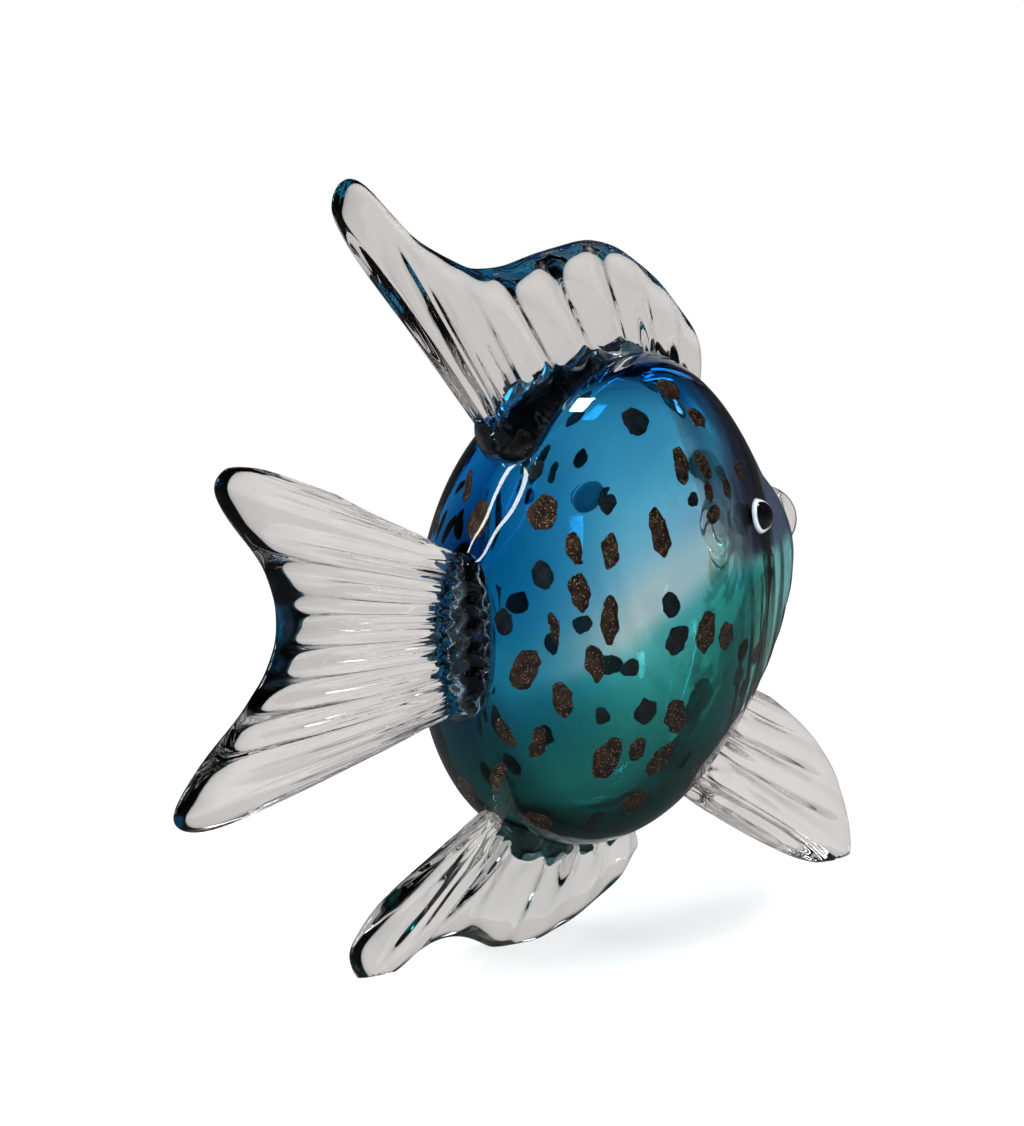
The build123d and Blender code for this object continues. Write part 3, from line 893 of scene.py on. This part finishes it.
def blade_mesh(name, rays, calm):
    """A closed blade, whose points carry ray, out, loose and side."""
    rows, at = blade_rows(rays, calm)
    turn = np.linspace(0, 2 * pi, around_ray, endpoint=False)
    reach = np.sign(np.cos(turn)) * np.abs(np.cos(turn)) ** (2 / section_power)
    bulge = np.sign(np.sin(turn)) * np.abs(np.sin(turn)) ** (2 / section_power)
    points, carried = [], {"ray": [], "out": [], "loose": [], "side": []}
    for number, row in enumerate(rows):
        foot, edge = row[:3], row[3:6]
        before, after = rows[max(number - 1, 0)], rows[min(number + 1, len(rows) - 1)]
        ray = edge - foot
        onward = after[3:6] - before[3:6] + foot_turn * (after[:3] - before[:3])
        facing = np.cross(ray, onward)
        facing = facing / np.linalg.norm(facing)
        middle = (foot + edge) / 2
        points.append(middle + np.outer(reach, ray / 2) + np.outer(bulge, facing * row[6] / 2))
        loose = min(at[number], at[-1] - at[number]) / held_rays
        carried["ray"] += [at[number]] * around_ray
        carried["out"] += list((reach + 1) / 2)
        carried["loose"] += [min(1.0, loose)] * around_ray
        carried["side"] += [tuple(facing * value) for value in np.sign(bulge)]
    faces = []
    for ring in range(len(rows) - 1):
        for side in range(around_ray):
            a = ring * around_ray + side
            b = ring * around_ray + (side + 1) % around_ray
            faces.append((a, b, b + around_ray, a + around_ray))
    faces.append(tuple(reversed(range(around_ray))))
    faces.append(tuple((len(rows) - 1) * around_ray + side for side in range(around_ray)))
    piece = new_piece(name, np.concatenate(points), faces, fin_glass)
    outwards(piece)
    for title, values in carried.items():
        kind, field = ("FLOAT_VECTOR", "vector") if title == "side" else ("FLOAT", "value")
        layer = piece.data.attributes.new(title, kind, "POINT")
        layer.data.foreach_set(field, np.array(values).ravel())
    return piece


# %% [markdown]
# The jaws leave more than ridges. The glass wrinkles where it was squeezed onto the body, and small
# waves run over its faces. A Geometry Nodes tree presses both into the blade: each point moves
# along its side by a wave over the rays that fades at the edge, by wrinkles and ripples that fade
# away from the foot, and by a slow unevenness everywhere.

# %% Rib tree
rib_fade = (0.95, 0.55)
ripple_fade = (0.7, 0.3)
wrinkle_fade = (0.45, 0.15)
ripples_out = 150.0
wrinkles_per_ray = 4.4
wrinkle_bends = 26.0
wrinkle_bend = 0.8


def rib_tree():
    """A tree that presses ribs, foot wrinkles, ripples and slow waves into a blade."""
    tree, start, end = geometry_tree(
        "pressed_ribs",
        ("Rib depth", 0.5 * mm),
        ("Rib pitch", 2.0),
        ("Wrinkle depth", 0.5 * mm),
        ("Ripple depth", 0.1 * mm),
        ("Wave depth", 0.5 * mm),
        ("Wave scale", 60.0),
    )

    def product(*values):
        total = values[0]
        for value in values[1:]:
            total = calculate(tree, "MULTIPLY", total, value)
        return total

    ray, out = named(tree, "ray"), named(tree, "out")
    turns = calculate(tree, "DIVIDE", ray, start.outputs["Rib pitch"])
    rib = calculate(tree, "COSINE", product(turns, 2 * pi))
    rib = product(rib, start.outputs["Rib depth"], ramp_between(tree, out, *rib_fade))
    ripple = calculate(tree, "SINE", product(out, ripples_out))
    ripple = product(ripple, ramp_between(tree, out, *ripple_fade), start.outputs["Ripple depth"])
    bend = product(calculate(tree, "SINE", product(out, wrinkle_bends)), wrinkle_bend)
    fold = calculate(tree, "SINE", calculate(tree, "MULTIPLY_ADD", ray, wrinkles_per_ray, bend))
    fold = product(fold, ramp_between(tree, out, *wrinkle_fade), start.outputs["Wrinkle depth"])
    place = add_node(tree, "GeometryNodeInputPosition").outputs[0]
    wave = noise(tree, place, scale=start.outputs["Wave scale"], detail=1.0)
    wave = product(calculate(tree, "MULTIPLY_ADD", wave, 2.0, -1.0), start.outputs["Wave depth"])
    total = calculate(tree, "ADD", rib, calculate(tree, "ADD", ripple, fold))
    total = calculate(tree, "ADD", total, wave)
    side, push = named(tree, "side", "FLOAT_VECTOR"), product(total, named(tree, "loose"))
    offset = calculate_vector(tree, "SCALE", side, Scale=push)
    moved = add_node(tree, "GeometryNodeSetPosition", Geometry=start.outputs[0], Offset=offset)
    painted = add_node(
        tree, "GeometryNodeSetMaterial", Geometry=moved.outputs[0], Material=fin_glass
    )
    tree.links.new(painted.outputs[0], end.inputs[0])
    return tree


pressed_ribs = rib_tree()


def press_ribs(piece, **sizes):
    """Runs the rib tree on a blade and keeps the result as a plain mesh."""
    modifier = piece.modifiers.new("ribs", "NODES")
    modifier.node_group = pressed_ribs
    sockets = {item.name: item.identifier for item in pressed_ribs.interface.items_tree}
    for title, value in sizes.items():
        modifier[sockets[title.replace("_", " ")]] = value
    apply_modifiers(piece)


# %% [markdown]
# A fin that was fused on sinks a little into the skin. The blades run deep into the body, so each
# is cut back with a copy of the skin that lies 2.4 mm down, which leaves its foot in the clear
# gather. The two fins that the fish stands on are also cut level with the ground.

# %% Cutting and seating
seat_depth = 2.4 * mm
plug = ring_solid("fin_foot_cutter", skin_points(seat_depth))
ground_half_length = 0.2
ground_half_width = 0.1
ground_depth = 0.05
corners = ((-1, -1), (1, -1), (1, 1), (-1, 1))
ground = new_piece(
    "ground_cutter",
    [
        (x * ground_half_length, y * ground_half_width, z)
        for z in (-ground_depth, 0.0)
        for x, y in corners
    ],
    [(3, 2, 1, 0), (4, 5, 6, 7), (0, 1, 5, 4), (1, 2, 6, 5), (2, 3, 7, 6), (3, 0, 4, 7)],
)


def boolean(piece, tool, operation):
    """Applies one boolean to the piece."""
    modifier = piece.modifiers.new("cut", "BOOLEAN")
    modifier.operation = operation
    modifier.solver = "MANIFOLD"
    modifier.object = tool
    apply_modifiers(piece)


def largest_island(piece):
    """Keeps the largest connected part of a mesh."""
    shape = bmesh.new()
    shape.from_mesh(piece.data)
    smaller = sorted(islands(shape), key=len)[:-1]
    loose = [shape.verts[number] for island in smaller for number in island]
    bmesh.ops.delete(shape, geom=loose, context="VERTS")
    shape.to_mesh(piece.data)
    shape.free()


# %% [markdown]
# The glass with which a fin is fused on makes a foot. On the dorsal and the anal fin it is a roll
# that follows the skin, thick at the rear and pinched into shallow folds. The tail's is a short
# oval tube on the end of the bubble, crumpled in upright folds that fade at both its ends. A
# boolean joins foot and blade, so light passes from one to the other with no face between them.

# %% Feet
fold_pitch = 11.0
fold_share = 0.13
fold_wander = (1.3, 0.31)
crest_growth = 0.25
crest_narrowing = 0.45

# Degrees round the body's middle, half height and half width as shares of the height and the width.
dorsal_foot_shares = (
    (60, 0.16, 0.18),
    (68, 0.26, 0.26),
    (80, 0.30, 0.30),
    (95, 0.33, 0.33),
    (110, 0.40, 0.38),
    (124, 0.50, 0.47),
    (133, 0.50, 0.50),
    (138, 0.38, 0.40),
    (140.5, 0.18, 0.20),
)
anal_foot_shares = (
    (-83, 0.20, 0.20),
    (-90, 0.32, 0.30),
    (-100, 0.36, 0.36),
    (-112, 0.50, 0.44),
    (-122, 0.62, 0.50),
    (-129, 0.50, 0.42),
    (-132, 0.22, 0.20),
)


def foot_roll(shares, height, width):
    """The thick folded roll along the skin by which a fin is fused on."""
    table = np.array(shares)
    knots = table[:, 0]
    order = np.sign(knots[-1] - knots[0])
    angles = np.linspace(knots[0], knots[-1], 150)
    sizes = smooth_through(order * knots, table[:, 1:], order * angles)
    profile = section_sizes(0.0, 600)
    upper = np.sign(knots[0])
    edge_x, edge_z = profile[:, 0], profile[:, 1] + upper * profile[:, 2]
    round_middle = np.degrees(np.arctan2(edge_z - body_middle[2], edge_x - body_middle[0]))
    by_angle = np.argsort(round_middle)
    seat = np.stack(
        [np.interp(angles, round_middle[by_angle], edge[by_angle]) for edge in (edge_x, edge_z)],
        axis=1,
    )
    ahead = np.gradient(seat, axis=0)
    ahead /= np.linalg.norm(ahead, axis=1)[:, None]
    steps = np.linalg.norm(np.diff(seat, axis=0), axis=1)
    reach = np.concatenate(([0], np.cumsum(steps))) / mm
    lift = np.clip(np.cos(turn_around), 0, 1)
    rings = []
    for k in range(1, len(angles) - 1):
        out = np.array((-ahead[k][1], 0, ahead[k][0]))
        away = out[0] * (seat[k][0] - body_middle[0]) + out[2] * (seat[k][1] - body_middle[2])
        out *= np.sign(away)
        wander = fold_wander[0] * np.sin(reach[k] * fold_wander[1])
        fold = 1 + fold_share * np.sin(2 * pi * reach[k] / fold_pitch + wander) * lift
        high = sizes[k][0] * height * np.cos(turn_around) * fold * (1 + crest_growth * lift)
        wide = sizes[k][1] * width * np.sin(turn_around) * fold * (1 - crest_narrowing * lift**1.5)
        middle = np.array((seat[k][0], 0, seat[k][1]))
        rings.append(middle + np.outer(high, out) + np.outer(wide, (0, 1, 0)))
    return ring_solid("foot_roll", rings, fin_glass)


tail_foot_back = -24.6 * mm
tail_foot_length = 15 * mm
tail_foot_height = 41 * mm
tail_foot_width = 16 * mm
tail_foot_middle = 79 * mm
tail_folds = 7
tail_fold_rings = 2.5
tail_fold_depth = 0.6 * mm
tail_fold_lean = 0.9

# Place along the foot, and half height and half width as shares of its height and width.
tail_foot_shares = (
    (0.00, 0.44, 0.44),
    (0.24, 0.50, 0.50),
    (0.50, 0.48, 0.44),
    (0.76, 0.44, 0.31),
    (1.00, 0.40, 0.16),
)


def tail_foot():
    """The crumpled foot: ovals down its length with wavy folds across them."""
    table = np.array(tail_foot_shares)
    along = np.linspace(0, 1, 48)
    rings = []
    for share, (high, wide) in zip(along, smooth_through(table[:, 0], table[:, 1:], along)):
        z = tail_foot_height * high * np.cos(turn_around)
        y = tail_foot_width * wide * np.sin(turn_around)
        wave = np.cos(2 * pi * tail_folds * z / tail_foot_height)
        fold = np.cos(2 * pi * tail_fold_rings * share + tail_fold_lean * wave)
        push = tail_fold_depth * fold * np.sin(turn_around) * sin(pi * share) ** 0.5
        x = tail_foot_back - share * tail_foot_length + tail_fold_depth * wave * sin(pi * share)
        rings.append(np.stack((x, y + push, tail_foot_middle + z), axis=1))
    return ring_solid("tail_foot", rings, fin_glass)


def join_foot(piece, foot):
    """Fuses a foot to its blade and gives the foot's own faces the glass with painted shade."""
    tree = BVHTree.FromObject(foot, bpy.context.evaluated_depsgraph_get())
    boolean(piece, foot, "UNION")
    mesh = piece.data
    mesh.materials.clear()
    mesh.materials.append(fin_glass)
    mesh.materials.append(foot_glass)
    for face in mesh.polygons:
        distance = tree.find_nearest(face.center)[3]
        face.material_index = int(distance < 0.02 * mm)
    bpy.data.objects.remove(foot)


# %% Fins
def make_fin(name, node, rays, calm, foot=None, stands=False, **sizes):
    """One pulled fin, pressed, cut to its seat and put in place of its CAD node."""
    piece = blade_mesh(name, rays, calm)
    press_ribs(piece, **sizes)
    if foot:
        join_foot(piece, foot)
    boolean(piece, plug, "DIFFERENCE")
    if stands:
        boolean(piece, ground, "DIFFERENCE")
    largest_island(piece)
    piece.data.shade_smooth()
    dress(piece, node)


make_fin(
    "dorsal_fin_pulled",
    "dorsal_fin",
    dorsal_rays,
    calm=0.28,
    foot=foot_roll(dorsal_foot_shares, 18 * mm, 17 * mm),
    Rib_depth=0.2 * mm,
    Wrinkle_depth=0.15 * mm,
    Ripple_depth=0.0,
    Wave_depth=0.5 * mm,
)
make_fin(
    "anal_fin_pulled",
    "anal_fin",
    anal_rays,
    calm=0.4,
    foot=foot_roll(anal_foot_shares, 12 * mm, 13 * mm),
    stands=True,
    Rib_depth=0.2 * mm,
    Wrinkle_depth=0.5 * mm,
    Ripple_depth=0.1 * mm,
)
make_fin(
    "front_fin_pulled",
    "front_fin",
    front_rays,
    calm=0.1,
    stands=True,
    Rib_depth=0.3 * mm,
    Wrinkle_depth=0.5 * mm,
    Ripple_depth=0.0,
)
make_fin(
    "tail_fin_pulled",
    "tail_fin",
    tail_rays,
    calm=0.58,
    foot=tail_foot(),
    Rib_depth=0.2 * mm,
    Rib_pitch=1.0,
    Wrinkle_depth=0.35 * mm,
    Ripple_depth=0.1 * mm,
    Wave_depth=0.35 * mm,
)
for tool in (plug, ground):
    bpy.data.objects.remove(tool)

# %% [markdown]
# ## Lips and eyes
#
# The lips are a drop of clear glass on the nose, with the mouth pressed into its front while it was
# soft. Each eye is a drop of white glass with a slightly smaller black drop sunk into it, so that a
# white rim shows. All their outlines are turned round an axis.

# %% Turned drops
turned_sides = 96


def turned(name, profile, middle, axis, squash, material):
    """A closed shape turned round an axis: profile is (out, along) pairs, from pole to pole."""
    axis = Vector(axis).normalized()
    side = Vector((0, 0, 1)).cross(axis).normalized()
    up = axis.cross(side)
    turn = np.linspace(0, 2 * pi, turned_sides, endpoint=False)
    points = [Vector(middle) + axis * profile[0][1]]
    for out, along in profile[1:-1]:
        for angle in turn:
            across = side * (out * sin(angle)) + up * (out * squash * cos(angle))
            points.append(Vector(middle) + axis * along + across)
    points.append(Vector(middle) + axis * profile[-1][1])
    rings = len(profile) - 2
    faces = [(0, 1 + (k + 1) % turned_sides, 1 + k) for k in range(turned_sides)]
    for ring in range(rings - 1):
        for k in range(turned_sides):
            a = 1 + ring * turned_sides + k
            b = 1 + ring * turned_sides + (k + 1) % turned_sides
            faces.append((a, b, b + turned_sides, a + turned_sides))
    last = 1 + (rings - 1) * turned_sides
    pole = len(points) - 1
    faces += [(last + k, last + (k + 1) % turned_sides, pole) for k in range(turned_sides)]
    piece = new_piece(name, points, faces, material)
    outwards(piece)
    return piece


# %% Lips
lip_flat = 0.9
lip_back = 80 * mm
lip_middle = 95.0 * mm
# Distance out from the lips' axis and along it, in millimetres.
lip_rows = np.array(
    (
        (0.0, -3.0),
        (4.0, -3.0),
        (8.4, -1.6),
        (9.8, 2.0),
        (9.9, 6.0),
        (8.8, 10.0),
        (6.6, 12.0),
        (4.6, 11.4),
        (3.2, 9.6),
        (1.6, 8.4),
        (0.0, 8.2),
    )
)
lip_reach = np.linalg.norm(np.diff(lip_rows, axis=0), axis=1)
lip_knots = np.concatenate(([0], np.cumsum(lip_reach)))
lip_profile = smooth_through(lip_knots, lip_rows, np.linspace(0, lip_knots[-1], 48))
lip_profile[:, 0] = np.abs(lip_profile[:, 0])
lips = turned(
    "lips_pulled", lip_profile * mm, (lip_back, 0, lip_middle), (1, 0, 0), lip_flat, lip_glass
)
dress(lips, "lips")

# %% Eye glass
def eye_material(name, colour, shade):
    """Opaque glass with a faint cloud in it, under a fire-polished surface."""
    material, tree, out = new_material(name)
    cloud = noise(tree, position(tree), scale=300.0, detail=3.0)
    cloud = ramp_between(tree, cloud, low=0.4, high=0.7)
    surface = add_node(
        tree,
        "ShaderNodeBsdfPrincipled",
        Base_Color=mix_colour(tree, cloud, colour, shade),
        Roughness=0.06,
        IOR=glass_index,
        Coat_Weight=1.0,
        Coat_Roughness=0.0,
    )
    tree.links.new(surface.outputs[0], out.inputs["Surface"])
    return material


white_glass = eye_material("opal_white_glass", "#F2F5F4", "#CBDADB")
black_glass = eye_material("black_glass", "#07070A", "#101218")

# %% Eyes
eye_x = 47.2 * mm
eye_z = 102.7 * mm
eye_squash = 1.02
eye_radius = 4.4 * mm
eye_sink = 1.3 * mm
eye_foot = -1.6 * mm
pupil_radius = 3.9 * mm
pupil_sink = 0.4 * mm
pupil_foot = 0.9 * mm
pupil_back = 0.5 * mm


def cap_profile(radius, middle, below):
    """The outline of a drop: a round cap down to below, closed flat."""
    low = np.arcsin(np.clip((below - middle) / radius, -1, 1))
    turns = np.linspace(pi / 2, low, 30)
    rows = [(radius * cos(t), middle + radius * sin(t)) for t in turns]
    return [*rows, (rows[-1][0] * 0.5, below), (0.0, below)]


def skin_seat(x, z, side):
    """The point of the skin at x and z on one flank, and the way it faces."""
    sizes = section_sizes(0.0, 400)
    middle, high, half = (np.interp(x, sizes[:, 0], sizes[:, k]) for k in (1, 2, 3))
    before, after = (np.interp(x + step, sizes[:, 0], sizes[:, 3]) for step in (-mm, mm))
    lean = (after - before) / (2 * mm)
    rise = (z - middle) / high
    level = (1 - rise * rise) ** 0.5
    facing = Vector((-lean * level, side, rise * half / high / level)).normalized()
    return Vector((x, side * half * level, z)), facing


for side, flank in ((-1, "right"), (1, "left")):
    seat, facing = skin_seat(eye_x, eye_z, side)
    for name, radius, sink, foot, shift, material in (
        ("eye_white", eye_radius, eye_sink, eye_foot, 0.0, white_glass),
        ("pupil", pupil_radius, pupil_sink, pupil_foot, pupil_back, black_glass),
    ):
        profile = cap_profile(radius, -sink, foot)
        middle = seat - Vector((shift, 0, 0))
        drop = turned(f"{flank}_{name}_drop", profile, middle, facing, eye_squash, material)
        dress(drop, f"{flank}_{name}")

# %% [markdown]
# ## Stage and light
#
# Glass is drawn by what stands round it. The studio is a pale floor and a pale wall all round up
# to a line, and dark above it, so that bent rays find dark bands to draw the edges with. The wall
# is the world itself, painted by height alone, so it looks the same from every side. Floor and wall
# each have one tone for the camera, one for rays through glass and one for mirror reflections. The
# floor fades out before its edge.

# %% Floor
floor_colour = "#F4F4F4"
floor_half = 3.0
floor_fade = (0.25, 0.7)

floor_material, tree, floor_out = new_material("studio_floor")
path = add_node(tree, "ShaderNodeLightPath")
floor_seen = floor_colour
for ray, colour in (
    ("Is Glossy Ray", "#4A4A4C"),
    ("Is Transmission Ray", "#B8B6B3"),
    ("Is Camera Ray", floor_colour),
):
    floor_seen = mix_colour(tree, path.outputs[ray], floor_seen, colour)
paint = add_node(tree, "ShaderNodeBsdfPrincipled", Base_Color=floor_seen, Roughness=0.9)
clear = add_node(tree, "ShaderNodeBsdfTransparent", Color=linear("#FFFFFF"))
away = calculate_vector(tree, "LENGTH", position(tree))
faded = mix_shader(tree, ramp_between(tree, away, *floor_fade), paint.outputs[0], clear.outputs[0])
tree.links.new(faded, floor_out.inputs["Surface"])
floor = new_piece(
    "floor",
    [(x * floor_half, y * floor_half, 0) for x, y in corners],
    [(0, 1, 2, 3)],
    floor_material,
)

# %% World
world = bpy.data.worlds.new("studio")
bpy.context.scene.world = world
world.use_nodes = True
sky = world.node_tree
sky.nodes.clear()
sky_out = sky.nodes.new("ShaderNodeOutputWorld")
look = add_node(sky, "ShaderNodeTexCoord")
height = axes_of(sky, look.outputs["Generated"])[2]


def background(colour, strength=1.0):
    """A background of one colour, as a socket."""
    return add_node(sky, "ShaderNodeBackground", Color=colour, Strength=strength).outputs[0]


# Colours by height: 0 is level and 1 is straight up.
through_stops = (
    (0.0, "#D4D1CE"),
    (1.0, "#15191F"),
    (0.34, "#D0CECB"),
    (0.46, "#989BA1"),
    (0.58, "#2A3038"),
)
mirror_stops = ((0.0, "#48484A"), (1.0, "#0C0D10"), (0.25, "#2C2E32"), (0.5, "#141619"))
path = add_node(sky, "ShaderNodeLightPath")
shown = background(linear("#FFFFFF"), 0.9)
for ray, colour in (
    ("Is Glossy Ray", colour_stops(sky, height, 0.0, 1.0, mirror_stops)),
    ("Is Transmission Ray", colour_stops(sky, height, 0.0, 1.0, through_stops)),
    ("Is Camera Ray", linear("#FFFFFF")),
):
    shown = mix_shader(sky, path.outputs[ray], shown, background(colour))
sky.links.new(shown, sky_out.inputs["Surface"])

# %% [markdown]
# Four lamps light the fish. The two large boxes only fill: they don't show as highlights. The small
# box overhead gives the bright window on the crown, and a ring light the oval near the tail.

# %% Lamps
def area_lamp(name, place, aim, width, length, power):
    """A soft box that faces aim."""
    lamp = bpy.data.lights.new(name, "AREA")
    lamp.shape = "RECTANGLE"
    lamp.size, lamp.size_y = width, length
    lamp.energy = power
    holder = bpy.data.objects.new(name, lamp)
    holder.location = place
    holder.rotation_euler = (Vector(aim) - Vector(place)).to_track_quat("-Z", "Y").to_euler()
    bpy.context.scene.collection.objects.link(holder)
    return holder


def ring_lamp(name, place, aim, width, length, power, inner, outer):
    """A soft box that shines only between two ovals, as a ring light does."""
    lamp = area_lamp(name, place, aim, width, length, power).data
    lamp.shape = "ELLIPSE"
    lamp.use_nodes = True
    tree = lamp.node_tree
    tree.nodes.clear()
    spot = add_node(tree, "ShaderNodeNewGeometry").outputs["Parametric"]
    spot = calculate_vector(tree, "SUBTRACT", spot, (0.5, 0.5, 0.0))
    away = calculate_vector(tree, "LENGTH", spot)
    soft = 0.02
    from_inner = ramp_between(tree, away, inner - soft, inner)
    to_outer = ramp_between(tree, away, outer, outer - soft)
    band = calculate(tree, "MULTIPLY", from_inner, to_outer)
    shine = add_node(tree, "ShaderNodeEmission", Strength=band)
    out = tree.nodes.new("ShaderNodeOutputLight")
    tree.links.new(shine.outputs[0], out.inputs[0])


fish_middle = (0, 0, 0.09)
area_lamp("top_box", (0.15, 0.06, 1.3), fish_middle, 0.2, 0.2, 4)
for soft_box in (
    area_lamp("key_box", (-0.75, -0.9, 0.75), fish_middle, 0.3, 0.3, 6),
    area_lamp("fill_box", (0.9, 0.5, 0.9), fish_middle, 0.5, 0.5, 5),
):
    soft_box.visible_glossy = False
ring_lamp("ring_light", (-0.75, 0.36, 0.62), fish_middle, 0.52, 0.8, 16, inner=0.37, outer=0.48)

# %% [markdown]
# ## Camera
#
# The photograph was taken from behind the fish's right flank, a little above it, with a long lens.

# %% Camera
camera_turn = radians(-48)
camera_rise = radians(9)
camera_distance = 0.8
camera_aim = Vector((-11.5 * mm, 0, 94.6 * mm))
level = cos(camera_rise)
back = Vector((sin(camera_turn) * level, -cos(camera_turn) * level, sin(camera_rise)))
lens = bpy.data.cameras.new("camera")
lens.lens = 106.15
lens.sensor_width = 36
camera = bpy.data.objects.new("camera", lens)
camera.location = camera_aim + back * camera_distance
camera.rotation_euler = back.to_track_quat("Z", "Y").to_euler()
bpy.context.scene.collection.objects.link(camera)
bpy.context.scene.camera = camera
bpy.context.scene.view_settings.view_transform = "Standard"
